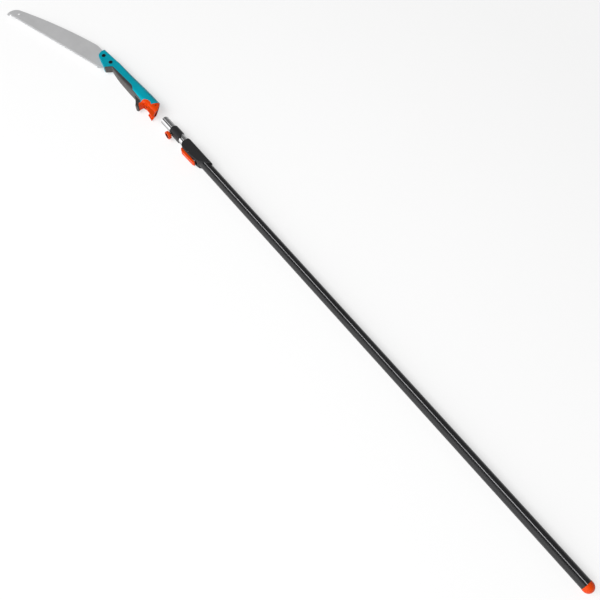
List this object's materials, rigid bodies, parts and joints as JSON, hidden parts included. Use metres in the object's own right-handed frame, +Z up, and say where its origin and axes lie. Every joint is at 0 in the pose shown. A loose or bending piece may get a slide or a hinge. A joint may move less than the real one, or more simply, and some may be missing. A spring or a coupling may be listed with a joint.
{
  "type": "telescoping pole saw",
  "caption": "Pruning saw with a curved-back blade and a socketed handle that clamps on the spigot of a two-stage telescopic pole with a lever lock.",
  "frame": {"origin": "centre of the spigot's tip, on the pole's axis", "axes": "+X along the pole from the butt towards the saw, +Y towards the toothed side and the clamp knob, +Z up with the saw lying on its side"},
  "size_m": [2.1123, 0.1617, 0.0364],
  "materials": {
    "tube_black": "satin black coating",
    "bush_black": "moulded",
    "cap_orange": "moulded",
    "housing_black": "moulded, fine grain",
    "collar_black": "moulded, fine grain",
    "rivet_steel": "dull",
    "pin_steel": "ground",
    "spring_steel": "rolled",
    "washer_steel": "stamped",
    "stud_steel": "rolled thread",
    "insert_brass": "turned",
    "tube_silver": "polished",
    "lever_orange": "moulded",
    "knob_orange": "moulded",
    "jaw_orange": "moulded",
    "handle_teal": "moulded",
    "grip_grey": "soft overmould",
    "blade_steel": "matte, hard chromed",
    "screw_black": "blackened"
  },
  "bodies": {
    "outer_pole": {"outer_tube": "tube_black", "guide_bush": "bush_black", "end_cap": "cap_orange", "lock_housing": "housing_black", "housing_rivets": "rivet_steel", "lever_pin": "pin_steel"},
    "inner_pole": {"inner_tube": "tube_silver", "tail_glide": "bush_black", "screw_collar": "collar_black", "clamp_insert": "insert_brass"},
    "lever": {"release_lever": "lever_orange", "locking_pin": "pin_steel", "lever_spring": "spring_steel"},
    "clamp_washer_body": {"clamp_washer": "washer_steel"},
    "clamp_screw": {"clamp_knob": "knob_orange", "clamp_stud": "stud_steel"},
    "saw": {"saw_blade": "blade_steel", "handle_body": "handle_teal", "soft_grip": "grip_grey", "coupling_jaw": "jaw_orange", "jaw_rivets": "rivet_steel", "blade_screws": "screw_black", "blade_nuts": "screw_black"}
  },
  "joints": [
    {"name": "telescope", "type": "slide", "parent": "outer_pole", "child": "inner_pole", "axis": [1, 0, 0], "range_m": [0, 1.2]},
    {"name": "saw_slide", "type": "slide", "parent": "inner_pole", "child": "saw", "axis": [1, 0, 0], "range_m": [-0.114, 0.15]},
    {"name": "release_lever", "type": "hinge", "parent": "outer_pole", "child": "lever", "pos_m": [-0.138, 0.016, 0], "axis": [0, 0, 1], "range_deg": [-6, 5], "stiffness_Nm_per_rad": 0.6, "deforming": ["lever_spring"]},
    {"name": "clamp_feed", "type": "slide", "parent": "inner_pole", "child": "clamp_washer_body", "axis": [0, -1, 0], "range_m": [0, 0.0017]},
    {"name": "clamp_turn", "type": "hinge", "parent": "clamp_washer_body", "child": "clamp_screw", "pos_m": [-0.049, 0.018, 0], "axis": [0, -1, 0], "range_deg": [0, 360]}
  ],
  "couplings": [
    {"joint": "clamp_feed", "follows": "clamp_turn", "m_per_rad": 0.0002705}
  ]
}
